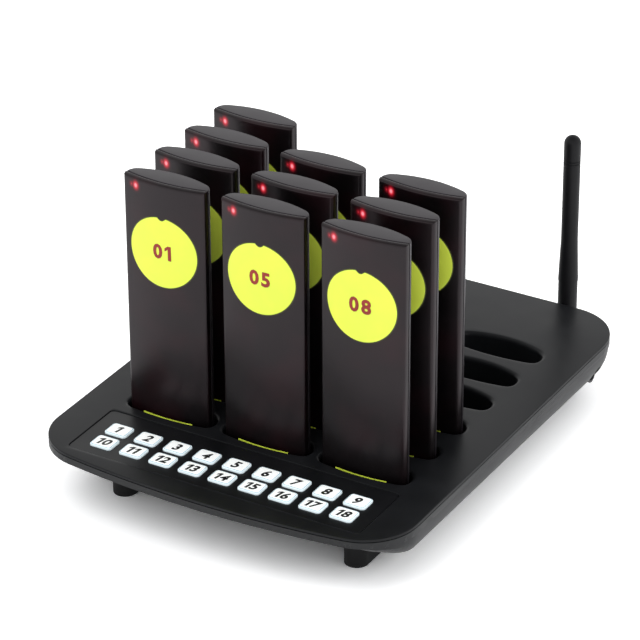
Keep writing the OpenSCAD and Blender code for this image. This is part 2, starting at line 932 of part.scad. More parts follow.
module antenna_rod() {
    slot_half = tongue_width / 2 + tongue_clearance;
    color("#242426")
    on_base()
    translate([antenna_x, hinge_y, 0]) {
        difference() {
            union() {
                intersection() {
                    translate([0, 0, hinge_z - cheek_radius])
                        cylinder(h = barrel_top_z - hinge_z + cheek_radius, d = antenna_barrel_d);
                    union() {
                        translate([-antenna_barrel_d, 0, hinge_z])
                            rotate([0, quarter_turn, 0])
                                cylinder(h = 2 * antenna_barrel_d, r = cheek_radius);
                        translate([-antenna_barrel_d, -antenna_barrel_d, hinge_z])
                            cube([2 * antenna_barrel_d, 2 * antenna_barrel_d, barrel_top_z]);
                    }
                }
                rotate_extrude()
                    rod_profile();
            }
            translate([-slot_half, -antenna_barrel_d, hinge_z - antenna_barrel_d])
                cube([2 * slot_half, 2 * antenna_barrel_d, antenna_barrel_d + cheek_slot_top]);
        }
        translate([hinge_pin_inset - antenna_barrel_d / 2, 0, hinge_z])
            rotate([0, quarter_turn, 0])
                cylinder(h = antenna_barrel_d - 2 * hinge_pin_inset, d = hinge_pin_d);
    }
}

// Half section of the rod above its barrel: flare, two ring grooves and a domed tip
module rod_profile() {
    r = antenna_rod_d / 2;
    difference() {
        union() {
            polygon([
                [0, barrel_top_z - eps], [antenna_flare_d / 2, barrel_top_z],
                [antenna_flare_d / 2, barrel_top_z + flare_band],
                [r, flare_top_z], [r, tip_z - r], [0, tip_z - r]
            ]);
            translate([0, tip_z - r])
                intersection() {
                    circle(r);
                    square([r, r]);
                }
        }
        for (ring = [0, 1])
            translate([r - ring_depth, ring_z - ring * ring_pitch])
                square([r, ring_width]);
    }
}

// ---------------------------------------------------------------- pagers

module at_pager(p) {
    place = pager_places[p - 1];
    on_base()
        translate([place.x, place.y, slot_floor_z])
            children();
}

// Rear half of a pager: a hollow moulding whose open front takes the cover
module pager_housing(p) {
    color("#1b1a1c")
    at_pager(p)
    difference() {
        linear_extrude(pager_height)
            intersection() {
                pager_plan();
                translate([0, front_centre])
                    circle(housing_front_radius, $fn = 4 * full_turn);
            }
        block(tongue_half + tongue_fit, pager_front_y, ledge_y, tongue_low - tongue_fit, tongue_high + tongue_fit);
        block(cavity_half, ledge_y - 1, cavity_back, pager_wall, circuit_top + tongue_fit);
        block(pocket_half, ledge_y, cavity_back + pocket_depth, pocket_low, pocket_high);
        block(lamp_half, ledge_y - 1, lamp_back, circuit_top - lamp_zone, circuit_top + tongue_fit);
        for (side = [-1, 1])
            translate([side * contact_spacing / 2 - pad_opening_x / 2, contact_y - pad_opening_y / 2, -1])
                cube([pad_opening_x, pad_opening_y, pager_wall + 2]);
    }
}

// A box that is even about the pager's middle
module block(half, y0, y1, z0, z1) {
    translate([-half, y0, z0])
        cube([2 * half, y1 - y0, z1 - z0]);
}

// Front cover: a curved plate with bevelled edges and a frame that steps into the housing
module pager_cover(p) {
    color("#2c2b2e")
    at_pager(p) {
        intersection() {
            translate([0, front_centre, 0])
                rotate([0, 0, -quarter_turn - cover_sweep / 2])
                    rotate_extrude(angle = cover_sweep)
                        cover_profile();
            linear_extrude(pager_height)
                polygon([
                    [-pager_half, side_bevel_y + cover_bevel], [-pager_half + cover_bevel, side_bevel_y - cover_bevel / 2],
                    [-tongue_half, pager_front_y - 1], [tongue_half, pager_front_y - 1],
                    [pager_half - cover_bevel, side_bevel_y - cover_bevel / 2], [pager_half, side_bevel_y + cover_bevel],
                    [pager_half, ledge_y], [-pager_half, ledge_y]
                ]);
        }
        difference() {
            block(tongue_half, tongue_root_y, ledge_y, tongue_low, tongue_high);
            block(tongue_half - tongue_wall, pager_front_y, ledge_y + 1, tongue_low + tongue_wall, tongue_high - tongue_wall);
        }
    }
}

// Section of the cover's plate, with its outer edges bevelled at the top and bottom
module cover_profile() {
    outer = front_radius;
    polygon([
        [outer - cover_thickness, 0], [outer - cover_bevel, 0], [outer, cover_bevel],
        [outer, pager_height - cover_bevel], [outer - cover_bevel, pager_height],
        [outer - cover_thickness, pager_height]
    ]);
}

// What a pager holds: board, battery, buzzer motor, radio chip, two lamps and two charging contacts
module pager_circuit(p) {
    color("#1f5a3a")
    at_pager(p) {
        block(circuit_half, circuit_y, circuit_back, circuit_low, circuit_top);
        block(lamp_half - tongue_fit, circuit_y, circuit_back, circuit_top - lamp_board_depth, circuit_top);
        block(battery_half, circuit_back + solder_gap, cavity_back + pocket_depth, battery_low, battery_high);
        translate([0, circuit_back + solder_gap, motor_z])
            rotate([-quarter_turn, 0, 0])
                cylinder(h = cavity_back - circuit_back - solder_gap, d = motor_d);
        block(chip_side / 2, circuit_y - chip_thickness, circuit_y - solder_gap, chip_z, chip_z + chip_side);
        for (side = [-1, 1]) {
            translate([
                side * lamp_x - lamp_side / 2,
                circuit_y - lamp_thickness - solder_gap,
                pager_height - lamp_drop - lamp_side / 2
            ])
                cube([lamp_side, lamp_thickness, lamp_side]);
            translate([side * contact_spacing / 2 - pad_width / 2, contact_y - pad_depth / 2, contact_rise])
                cube([pad_width, pad_depth, pad_thickness]);
            translate([side * contact_spacing / 2 - blade_width / 2, circuit_back + solder_gap, contact_rise])
                cube([blade_width, blade_thickness, blade_height]);
        }
    }
}

// ---------------------------------------------------------------- nodes

top_shell();
bottom_shell();
keypad_panel();
rubber_feet();
main_board();
charging_contacts();
key_switches();
case_screws();
power_socket();
antenna_socket();
antenna_elbow();
antenna_rod();
for (k = [1:KEYS])
    key(k);
for (p = [1:PAGERS]) {
    pager_housing(p);
    pager_cover(p);
    pager_circuit(p);
}
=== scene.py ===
# %% [markdown]
# # A guest pager system
# Ten slim pagers stand on a counter-top charger with eighteen numbered keys and a rod antenna.
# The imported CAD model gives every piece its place. This lesson dresses it: each cell either keeps a
# CAD piece and gives it a finish, or works out a finer surface with numpy that stands for it.

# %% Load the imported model
import math

import bmesh
import bpy
import numpy as np
from mathutils import Matrix, Vector


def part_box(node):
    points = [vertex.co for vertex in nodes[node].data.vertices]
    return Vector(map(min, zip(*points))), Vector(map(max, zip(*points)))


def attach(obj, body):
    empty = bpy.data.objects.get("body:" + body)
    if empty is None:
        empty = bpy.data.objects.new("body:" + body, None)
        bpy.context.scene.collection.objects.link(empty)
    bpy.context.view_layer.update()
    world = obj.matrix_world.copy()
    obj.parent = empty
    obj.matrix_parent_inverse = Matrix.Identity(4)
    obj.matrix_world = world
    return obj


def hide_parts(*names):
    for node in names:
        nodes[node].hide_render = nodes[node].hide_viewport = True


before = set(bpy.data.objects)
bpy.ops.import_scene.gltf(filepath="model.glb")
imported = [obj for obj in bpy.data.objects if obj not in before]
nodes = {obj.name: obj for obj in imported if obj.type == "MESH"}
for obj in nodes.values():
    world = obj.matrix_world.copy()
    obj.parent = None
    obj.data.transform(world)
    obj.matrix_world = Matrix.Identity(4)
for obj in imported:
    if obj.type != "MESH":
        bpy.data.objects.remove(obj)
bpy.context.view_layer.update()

# %% [markdown]
# ## The camera
# The photograph was taken from the right, a little above, with a long lens. The place and the turn
# below come from lining up the slots, the keys and the pagers with a drawing of the base. The camera
# is made before anything else, so that every later step can be looked at.

# %% Set the camera
eye = Vector((0.82304, -1.43957, 0.97459))
turn_left, look_down, lean = 30.1472, 28.5796, -0.2316
camera_data = bpy.data.cameras.new("camera")
camera = bpy.data.objects.new("camera", camera_data)
bpy.context.scene.collection.objects.link(camera)
bpy.context.scene.camera = camera
camera.matrix_world = (
    Matrix.Translation(eye)
    @ Matrix.Rotation(math.radians(turn_left), 4, "Z")
    @ Matrix.Rotation(math.radians(90 - look_down), 4, "X")
    @ Matrix.Rotation(math.radians(lean), 4, "Z")
)
camera_data.sensor_width = 36
camera_data.lens = 198.333
camera_data.clip_start, camera_data.clip_end = 0.05, 50
bpy.context.scene.view_settings.view_transform = "Standard"
print("camera", [round(v, 3) for v in eye], "lens", camera_data.lens, "mm")

# %% [markdown]
# ## Where things are
# Shapes are worked out in millimetres, measured as a maker would: x from the centre line, y back from
# the middle of the front edge, and z up from the deck. One helper turns that into the frame's metres.

# %% Places on the base
front_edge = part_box("top_shell")[0].y
deck_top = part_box("top_shell")[1].z
base_width = (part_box("top_shell")[1].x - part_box("top_shell")[0].x) * 1000
base_depth = (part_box("top_shell")[1].y - front_edge) * 1000


def place(points):
    """Millimetres from the front edge and the deck, turned into metres in the shared frame."""
    return np.asarray(points, float) / 1000 + (0.0, front_edge, deck_top)


def node_place(name):
    """A node's box in the same millimetres: its lowest and highest corners."""
    low, high = (np.array(corner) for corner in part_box(name))
    return (low - (0, front_edge, deck_top)) * 1000, (high - (0, front_edge, deck_top)) * 1000


print("base", round(base_width, 1), "x", round(base_depth, 1), "mm")
print("deck", round(deck_top * 1000, 1), "mm above the table")

# %% [markdown]
# ## Outlines made of arcs
# Every moulding here has an outline of arcs that run smoothly into each other: round corners, a bowed
# front edge, the lens shape of a pager. Such an outline can be moved outwards or inwards by changing
# each radius, and its points keep their order, so one outline at many sizes makes a rounded edge.

# %% Arcs and lens shapes
QUARTER_TURN, HALF_TURN, FULL_TURN = math.pi / 2, math.pi, 2 * math.pi


def trace(arcs, grow=0.0, steps=14):
    """Points of an outline moved outwards by grow: centre + (radius + grow)(cos a, sin a) on an arc."""
    pieces = []
    for x, y, radius, start, end in arcs:
        a = np.linspace(start, end, steps)
        pieces.append(np.stack([x + (radius + grow) * np.cos(a), y + (radius + grow) * np.sin(a)], -1))
    return np.concatenate(pieces)


def box_arcs(width, depth, corner, y=0.0):
    """A rectangle with round corners about (0, y): four quarter turns."""
    x0, y0 = width / 2 - corner, depth / 2 - corner
    return [
        (sx * x0, y + sy * y0, corner, n * QUARTER_TURN, (n + 1) * QUARTER_TURN)
        for n, (sx, sy) in enumerate([(1, 1), (-1, 1), (-1, -1), (1, -1)])
    ]


def lens_arcs(half, front, back, front_radius, back_radius, front_corner, back_corner):
    """A pager's outline: curved front and back, and corner circles that touch a curve and the end."""
    back_y, front_y = back - back_radius, front + front_radius
    bx, fx = half - back_corner, half - front_corner
    by = back_y + math.sqrt((back_radius - back_corner) ** 2 - bx**2)
    fy = front_y - math.sqrt((front_radius - front_corner) ** 2 - fx**2)
    b, f = math.atan2(by - back_y, bx), math.atan2(fy - front_y, fx)
    return [
        (bx, by, back_corner, 0, b),
        (0, back_y, back_radius, b, HALF_TURN - b),
        (-bx, by, back_corner, HALF_TURN - b, HALF_TURN),
        (-fx, fy, front_corner, HALF_TURN, HALF_TURN - f),
        (0, front_y, front_radius, -HALF_TURN - f, f),
        (fx, fy, front_corner, f, 0),
    ]


def base_arcs(width, depth, corner, front_radius):
    """The base from above: straight sides and rear, round corners and a gently bowed front edge."""
    x, rear = width / 2 - corner, depth - corner
    y = front_radius - math.sqrt((front_radius - corner) ** 2 - x**2)
    f = math.atan2(y - front_radius, x)
    return [
        (x, rear, corner, 0, QUARTER_TURN),
        (-x, rear, corner, QUARTER_TURN, HALF_TURN),
        (-x, y, corner, HALF_TURN, HALF_TURN - f),
        (0, front_radius, front_radius, -HALF_TURN - f, f),
        (x, y, corner, f, 0),
    ]


base_corner, front_bow = 31.0, 560.0
base_outline = base_arcs(base_width, base_depth, base_corner, front_bow)
outline_points = trace(base_outline)
print("base outline spans", np.round(outline_points.max(0) - outline_points.min(0), 1), "mm")

# %% [markdown]
# ## Grids of points
# Every new surface is a grid of points with two parameters, such as how far round and how far up. The
# whole grid is worked out at once as an array, and its faces are the squares between neighbours.
# Several grids can share their edges: points in the same place become one, and then the faces are
# turned to point outwards. A box with a Bevel modifier would be quicker for one plain piece, but a
# formula gives each rounded edge its own measured size, and makes the same mesh each time.


# %% Grids into meshes
def squares(rows, columns, start=0):
    """Faces between neighbouring points of a grid whose points are counted row by row from start."""
    i = start + np.arange(rows * columns).reshape(rows, columns)
    return np.stack([i[:-1, :-1], i[:-1, 1:], i[1:, 1:], i[1:, :-1]], -1).reshape(-1, 4)


def build(
    name, grids, body, finishes, stands_for=(), open_sheet=False, crease=35, marks=None
):
    """Joins grids of millimetre points into one mesh that rides on a body and stands for CAD nodes.

    An open sheet has no inside, so it is turned to face up. Marks are a second position for each point,
    which a finish can read.
    """
    points = np.concatenate([np.reshape(g, (-1, 3)) for g in grids])
    starts = np.cumsum([0] + [g.shape[0] * g.shape[1] for g in grids])
    faces = np.concatenate([squares(g.shape[0], g.shape[1], s) for g, s in zip(grids, starts)])
    mesh = bpy.data.meshes.new(name)
    mesh.from_pydata(place(points).tolist(), [], faces.tolist())
    if marks is not None:
        layer = mesh.attributes.new("marks", "FLOAT_VECTOR", "POINT")
        flat_marks = np.concatenate([np.reshape(m, (-1, 3)) for m in marks])
        layer.data.foreach_set("vector", flat_marks.ravel())
    for finish in finishes:
        mesh.materials.append(finish)
    work = bmesh.new()
    work.from_mesh(mesh)
    bmesh.ops.remove_doubles(work, verts=work.verts, dist=2e-6)
    bmesh.ops.dissolve_degenerate(work, edges=work.edges, dist=1e-7)
    bmesh.ops.recalc_face_normals(work, faces=work.faces)
    highest = max(work.faces, key=lambda face: face.calc_center_median().z)
    if open_sheet and highest.normal.z < 0:
        bmesh.ops.reverse_faces(work, faces=work.faces)
    work.to_mesh(mesh)
    work.free()
    mesh.polygons.foreach_set("use_smooth", np.ones(len(mesh.polygons), bool))
    mesh.set_sharp_from_angle(angle=math.radians(crease))
    piece = bpy.data.objects.new(name, mesh)
    bpy.context.scene.collection.objects.link(piece)
    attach(piece, body)
    if stands_for:
        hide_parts(*stands_for)
    return piece


def lathe(profile, x, y, steps):
    """A surface turned about an upright line through (x, y): (r cos a, r sin a, z) for each (r, z)."""
    r, z = np.array(profile, float).T
    a = np.linspace(0, FULL_TURN, steps + 1)
    heights = np.repeat(z[:, None], steps + 1, 1)
    return np.stack([x + np.outer(r, np.cos(a)), y + np.outer(r, np.sin(a)), heights], -1)


def rings(arcs, profile, steps, at):
    """An outline carried up a profile of (grow, z): each row is the closed outline, grown by grow."""
    rows = []
    for grow, z in profile:
        loop = trace(arcs, grow, steps) + at
        loop = np.concatenate([loop, loop[:1]])
        rows.append(np.column_stack([loop, np.full(len(loop), z)]))
    return np.stack(rows)


def cap(row, middle):
    """Closes a loop with a fan: a grid of two rows, the loop and its middle repeated."""
    return np.stack([row, np.repeat([middle], len(row), 0)])


print("helpers ready: squares, build, lathe, rings, cap")

# %% [markdown]
# ## Finishes
# Most of the object is injection-moulded plastic. Its colour is nearly black, and what the eye reads
# is the reflection: a satin skin with a very fine grain. A noise pattern on the Object coordinates
# makes small changes in roughness and a shallow bump, at the size of the real grain. A picture wrapped
# round each piece would show seams and blur from near, and a noise pattern does neither.


# %% A moulded plastic
def srgb(*values):
    """An 8-bit screen colour turned into the linear colour that a shader takes."""
    c = np.array(values, float) / 255
    return (*np.where(c <= 0.04045, c / 12.92, ((c + 0.055) / 1.055) ** 2.4), 1.0)


def plain(name, colour, roughness, **sockets):
    """A Principled material with fixed values set straight on its sockets."""
    made = bpy.data.materials.new(name)
    made.use_nodes = True
    shader = made.node_tree.nodes["Principled BSDF"]
    shader.inputs["Base Color"].default_value = colour
    shader.inputs["Roughness"].default_value = roughness
    for socket, value in sockets.items():
        shader.inputs[socket.replace("_", " ")].default_value = value
    return made


def noise(made, scale, detail):
    """A noise texture on the Object coordinates; scale is in features a metre."""
    tree = made.node_tree
    where = tree.nodes.new("ShaderNodeTexCoord")
    texture = tree.nodes.new("ShaderNodeTexNoise")
    texture.inputs["Scale"].default_value = scale
    texture.inputs["Detail"].default_value = detail
    tree.links.new(where.outputs["Object"], texture.inputs["Vector"])
    return texture.outputs["Fac"]


def spread(made, value, low, high, socket, start=0.3, stop=0.7):
    """Maps a noise from low to high onto one socket of the shader."""
    tree = made.node_tree
    mapper = tree.nodes.new("ShaderNodeMapRange")
    for name, number in (("From Min", start), ("From Max", stop), ("To Min", low), ("To Max", high)):
        mapper.inputs[name].default_value = number
    tree.links.new(value, mapper.inputs["Value"])
    tree.links.new(mapper.outputs["Result"], tree.nodes["Principled BSDF"].inputs[socket])


def tint(made, value, dark, light, start=0.35, stop=0.65):
    """Mixes two close colours by a noise, onto the base colour."""
    tree = made.node_tree
    ramp = tree.nodes.new("ShaderNodeValToRGB")
    ramp.color_ramp.elements[0].position, ramp.color_ramp.elements[1].position = start, stop
    ramp.color_ramp.elements[0].color, ramp.color_ramp.elements[1].color = dark, light
    tree.links.new(value, ramp.inputs["Fac"])
    tree.links.new(ramp.outputs["Color"], tree.nodes["Principled BSDF"].inputs["Base Color"])


def bump(made, value, height, strength):
    """Turns a noise into a bump of the given height in metres."""
    tree = made.node_tree
    relief = tree.nodes.new("ShaderNodeBump")
    relief.inputs["Distance"].default_value = height
    relief.inputs["Strength"].default_value = strength
    tree.links.new(value, relief.inputs["Height"])
    tree.links.new(relief.outputs["Normal"], tree.nodes["Principled BSDF"].inputs["Normal"])


def moulded(name, colour, roughness, grain=1400, depth=2.5e-5, vary=0.12, **sockets):
    """Satin moulded plastic: slow changes of colour and shine, and a fine grain."""
    made = plain(name, colour, roughness, **sockets)
    slow, fine = noise(made, 60, 4), noise(made, grain, 2)
    c = np.array(colour[:3])
    tint(made, slow, (*(c * (1 - vary)), 1), (*(c * (1 + vary)), 1))
    spread(made, slow, roughness * 0.9, roughness * 1.1, "Roughness")
    bump(made, fine, depth, 0.5)
    return made


deck_finish = moulded("deck_satin", srgb(21, 22, 24), 0.36, IOR=1.3)
shell_finish = moulded("shell_satin", srgb(22, 23, 25), 0.4, IOR=1.42)
panel_finish = moulded("panel_satin", srgb(15, 16, 18), 0.36, IOR=1.38)
print("plastics ready")

# %% [markdown]
# ## The deck
# The top moulding is a flat plate. Its eighteen lens-shaped slots roll over a rounded lip into deep
# pockets, the keypad lies in a shallow recess, and the rim drops to a dark parting groove. Each slot is
# worked out inside its own rectangle: rays from the middle of the slot meet both the slot's outline and
# the rectangle, so neighbouring rectangles share their edge points and the plate has no gaps. Eighteen
# Boolean modifiers could cut the slots too, but they leave long thin faces that spoil the shine.

# %% Sizes of the slots
column_pitch, row_pitch, first_row = 58.7, 29.4, 73.2
slot_columns = (-column_pitch, 0.0, column_pitch)
slot_rows = [first_row + row_pitch * row for row in range(6)]
pager_half, pager_front, pager_back = 24.6, -7.8, 8.4
back_radius, back_corner, front_corner = 58.0, 6.5, 3.0
pager_bulge, slot_bulge = 3.1, 2.5
pager_front_radius, slot_front_radius = (
    (pager_half**2 + bulge**2) / (2 * bulge) for bulge in (pager_bulge, slot_bulge)
)
slot_clearance, lip = 1.5, 2.3
slot_outline = lens_arcs(
    pager_half + slot_clearance, pager_front - slot_clearance, pager_back + slot_clearance,
    slot_front_radius + slot_clearance, back_radius + slot_clearance,
    front_corner + slot_clearance, back_corner + slot_clearance,
)
slot_floor, floor_round = -20.0, 1.2
across, along = 40, 20
print("slot opening", np.round(np.ptp(trace(slot_outline, lip), axis=0), 1), "mm with its lip")


# %% Rays from a middle point
def frame_points(x0, x1, y0, y1, across, along):
    """Points round a rectangle, anticlockwise from its lower right corner, evenly spaced on a side."""
    ax, ay = np.linspace(x0, x1, across + 1), np.linspace(y0, y1, along + 1)
    right = np.stack([np.full(along, x1), ay[:-1]], -1)
    rear = np.stack([ax[::-1][:-1], np.full(across, y1)], -1)
    left = np.stack([np.full(along, x0), ay[::-1][:-1]], -1)
    front = np.stack([ax[:-1], np.full(across, y0)], -1)
    loop = np.concatenate([right, rear, left, front])
    return np.concatenate([loop, loop[:1]])


def meet(arcs, grow, loop, middle):
    """Where the ray from the middle through each point of a loop meets the outline grown by grow."""
    corners = trace(arcs, grow, 60)
    corners = np.concatenate([corners, corners[:1]])
    travel = np.concatenate([[0], np.cumsum(np.hypot(*np.diff(corners, axis=0).T))])
    even = np.linspace(0, travel[-1], 6001)[:-1]
    dense = np.stack([np.interp(even, travel, corners[:, axis]) for axis in (0, 1)], -1) - middle
    angle = np.unwrap(np.arctan2(dense[:, 1], dense[:, 0]))
    reach = np.hypot(dense[:, 0], dense[:, 1])
    order = np.argsort(angle)
    angle, reach = angle[order], reach[order]
    rays = loop - middle
    direction = np.arctan2(rays[:, 1], rays[:, 0])
    r = np.interp(direction, angle, reach, period=FULL_TURN)
    return middle + np.stack([r * np.cos(direction), r * np.sin(direction)], -1)


def lift(loop, z):
    """A flat loop raised to height z."""
    return np.column_stack([loop, np.full(len(loop), z)])


print("rays ready")


# %% One slot in its rectangle
def slot_grid(x, y):
    """Rows from the rectangle in to the lip, round it, down the wall and over the floor."""
    half_x, half_y = column_pitch / 2, row_pitch / 2
    loop = frame_points(-half_x, half_x, -half_y, half_y, across, along)
    middle = np.array([0.0, 0.0])
    rows = [lift(loop, 0.0)]
    edge = meet(slot_outline, lip, loop, middle)
    rows.append(lift(0.4 * loop + 0.6 * edge, 0.0))
    for a in np.linspace(QUARTER_TURN, 0, 7):
        grow, z = lip - lip * math.cos(a), -lip + lip * math.sin(a)
        rows.append(lift(meet(slot_outline, grow, loop, middle), z))
    rows.append(lift(meet(slot_outline, 0, loop, middle), slot_floor + floor_round))
    for a in np.linspace(0, QUARTER_TURN, 4)[1:]:
        grow, z = floor_round * (math.cos(a) - 1), slot_floor + floor_round - floor_round * math.sin(a)
        rows.append(lift(meet(slot_outline, grow, loop, middle), z))
    rows.append(lift(0 * loop, slot_floor))
    return np.stack(rows) + (x, y, 0)


slots = [slot_grid(x, y) for x in slot_columns for y in slot_rows]
print("slots:", len(slots), "points each:", slots[0].shape[0] * slots[0].shape[1])

# %% The plate round the slots
block_x = 1.5 * column_pitch
block_y0, block_y1 = slot_rows[0] - row_pitch / 2, slot_rows[-1] + row_pitch / 2
panel_low, panel_high = node_place("keypad_panel")
panel_middle = np.array([0.0, (panel_low[1] + panel_high[1]) / 2])
panel_gap, panel_corner, panel_ledge = 0.4, 2.5, 2.4
recess = box_arcs(
    panel_high[0] - panel_low[0] + 2 * panel_gap, panel_high[1] - panel_low[1] + 2 * panel_gap,
    panel_corner + panel_gap, panel_middle[1],
)
keypad_front, keypad_steps = 11.4, 36
recess_loop = frame_points(-block_x, block_x, keypad_front, block_y0, 3 * across, keypad_steps)
recess_profile = [
    (0.3, 0.0), (0.09, -0.09), (0.0, -0.3), (0.0, panel_low[2]), (-panel_ledge, panel_low[2]),
]
recess_rows = [lift(recess_loop, 0.0)]
recess_rows += [lift(meet(recess, grow, recess_loop, panel_middle), z) for grow, z in recess_profile]
recess_grid = np.stack(recess_rows)
print("keypad recess", round(-panel_low[2], 2), "mm deep")

# %% The plate out to its rim
deck_middle = np.array([0.0, 123.0])
side = np.concatenate([
    np.linspace(keypad_front, block_y0, keypad_steps + 1)[:-1],
    np.linspace(block_y0, block_y1, len(slot_rows) * along + 1),
])
rear = np.linspace(block_x, -block_x, 3 * across + 1)
rim_loop = np.concatenate([
    np.stack([np.full(len(side) - 1, block_x), side[:-1]], -1),
    np.stack([rear[:-1], np.full(len(rear) - 1, block_y1)], -1),
    np.stack([np.full(len(side) - 1, -block_x), side[::-1][:-1]], -1),
    np.stack([rear[::-1], np.full(len(rear), keypad_front)], -1),
])
groove_in, rim_height, plate, underside = 0.8, 1.4, 1.9, 1.5
rim_profile = [
    (-0.6, 0.0), (-0.3, -0.03), (-0.08, -0.12), (0.0, -0.32), (0.0, -rim_height),
    (-groove_in, -rim_height), (-groove_in, -plate), (-groove_in - underside, -plate),
]
rim_rows = [lift(rim_loop, 0.0)]
rim_rows += [lift(meet(base_outline, grow, rim_loop, deck_middle), z) for grow, z in rim_profile]
rim_grid = np.stack(rim_rows)
deck = build(
    "deck", slots + [recess_grid, rim_grid], "base", [deck_finish], ["top_shell"],
    open_sheet=True,
)
print("deck:", len(deck.data.polygons), "faces")

# %% [markdown]
# ## Pieces that keep their CAD shape
# The keypad panel, the feet, the antenna and everything inside already have the right form. Their faces
# come as loose triangles, so a Weld modifier joins them, smooth shading rounds the curved parts, and an
# Edge Split keeps the real edges crisp. Each one then gets its finish in its material slot.


# %% Finish a CAD node
def keep(name, finish, crease=28):
    """Gives a CAD node a finish and smooth shading with crisp edges; its mesh stays as it is."""
    node = nodes[name]
    node.data.materials.clear()
    node.data.materials.append(finish)
    node.data.polygons.foreach_set("use_smooth", np.ones(len(node.data.polygons), bool))
    weld = node.modifiers.new("weld", "WELD")
    weld.merge_threshold = 1e-6
    split = node.modifiers.new("edges", "EDGE_SPLIT")
    split.split_angle = math.radians(crease)


board_finish = moulded("board_green", (0.012, 0.075, 0.035, 1), 0.35, 900, 1e-5)
gold_finish = moulded("contact_gold", (0.75, 0.52, 0.2, 1), 0.25, 3000, 5e-6, Metallic=1.0)
steel_finish = moulded("screw_steel", (0.5, 0.5, 0.5, 1), 0.35, 3000, 5e-6, Metallic=1.0)
socket_finish = moulded("socket_black", srgb(26, 26, 28), 0.4)
rubber_finish = moulded("foot_rubber", srgb(20, 20, 21), 0.62, 900, 6e-5, IOR=1.3)
antenna_finish = moulded("antenna_black", srgb(20, 20, 22), 0.45, 1800, 2e-5, IOR=1.3)
for name, finish in [
    ("keypad_panel", panel_finish), ("rubber_feet", rubber_finish),
    ("main_board", board_finish), ("key_switches", board_finish), ("charging_contacts", gold_finish),
    ("antenna_socket", gold_finish), ("case_screws", steel_finish), ("power_socket", socket_finish),
    ("antenna_elbow", antenna_finish), ("antenna_rod", antenna_finish),
]:
    keep(name, finish)
print("kept:", [n for n in nodes if nodes[n].modifiers])

# %% [markdown]
# ## The lower shell
# The CAD shell has its holes, pockets and bosses in place, but its sloping underside meets the
# bowl-shaped side in a hard edge. On the real moulding that edge is a wide soft turn. A copy of the CAD
# mesh is cut by a lattice of planes, so that it has points to move, and the points near the edge are
# then lifted on to a smooth maximum of the two surfaces. A bevel would be equally wide all the way,
# while this turn starts narrow at the parting groove, widens below it and fades out underneath. The
# cuts leave some very thin faces, so the shading counts each face by its size.

# %% The height that a soft turn adds
band_z, band_edge = -5.6, 0.05
bowl_radius, bowl_inset, bowl_corner = 25.3, 0.4, base_corner - 0.4
nose_start, nose_slope = 8.0, math.tan(math.radians(28))
turn_size, fade_width = 12.0, 12.0


def soft_turn(x, y, z):
    """k (1/2 - |bowl - nose| / 2k)^2: how far a smooth maximum stands above the higher surface."""
    half = np.array([[base_width / 2 - bowl_inset], [(base_depth - bowl_inset - nose_start) / 2]])
    middle_y = (base_depth - bowl_inset + nose_start) / 2
    q = np.abs(np.stack([x, y - middle_y])) - half + bowl_corner
    inset = bowl_corner - np.hypot(*np.maximum(q, 0)) - np.minimum(q.max(0), 0)
    wall = np.clip(inset, 0, bowl_radius)
    bowl = band_z - np.sqrt(bowl_radius**2 - (bowl_radius - wall) ** 2)
    nose = band_z - (y - nose_start) * nose_slope
    k = np.clip(2 * (band_z - np.maximum(bowl, nose)), 1e-3, turn_size)
    rise = k * (0.5 - np.clip(np.abs(bowl - nose) / (2 * k), 0, 0.5)) ** 2
    fade = np.clip((bowl_radius + 1 - inset) / fade_width, 0, 1)
    return np.where(z < band_z - band_edge, rise * fade**2 * (3 - 2 * fade), 0)


side_spot = np.array([[104.0], [40.0], [-25.0]])
print("soft turn at the side adds", round(float(soft_turn(*side_spot)[0]), 2), "mm")

# %% Copy the shell and soften it
shell_mesh = nodes["bottom_shell"].data.copy()
shell_mesh.name = "lower_shell"
work = bmesh.new()
work.from_mesh(shell_mesh)
bmesh.ops.remove_doubles(work, verts=work.verts, dist=1e-6)
sliver, cut_region = 2e-5, 0.1
cuts = [((0, y, 0), (0, 1, 0)) for y in np.arange(10, 84, 3.0)]
cuts += [((sign * x, 0, 0), (1, 0, 0)) for x in np.arange(78, 108, 3.0) for sign in (-1, 1)]
for spot, normal in cuts:
    near = [f for f in work.faces if f.calc_center_median().y < front_edge + cut_region]
    edges = list(dict.fromkeys(e for f in near for e in f.edges))
    corners = list(dict.fromkeys(v for f in near for v in f.verts))
    bmesh.ops.bisect_plane(
        work, geom=edges + corners + near, dist=sliver, plane_co=place([spot])[0], plane_no=normal
    )
bmesh.ops.dissolve_degenerate(work, edges=work.edges, dist=sliver)
work.to_mesh(shell_mesh)
work.free()
co = np.zeros(3 * len(shell_mesh.vertices))
shell_mesh.vertices.foreach_get("co", co)
flat = (co.reshape(-1, 3) - (0.0, front_edge, deck_top)) * 1000
flat[:, 2] += soft_turn(*flat.T)
shell_mesh.vertices.foreach_set("co", place(flat).ravel())
shell_mesh.materials.clear()
shell_mesh.materials.append(shell_finish)
shell_mesh.polygons.foreach_set("use_smooth", np.ones(len(shell_mesh.polygons), bool))
shell_mesh.set_sharp_from_angle(angle=math.radians(28))
lower_shell = bpy.data.objects.new("lower_shell", shell_mesh)
bpy.context.scene.collection.objects.link(lower_shell)
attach(lower_shell, "base")
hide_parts("bottom_shell")
even = lower_shell.modifiers.new("even_shading", "WEIGHTED_NORMAL")
even.mode, even.keep_sharp = "FACE_AREA_WITH_ANGLE", True
print("lower shell:", len(shell_mesh.polygons), "faces")
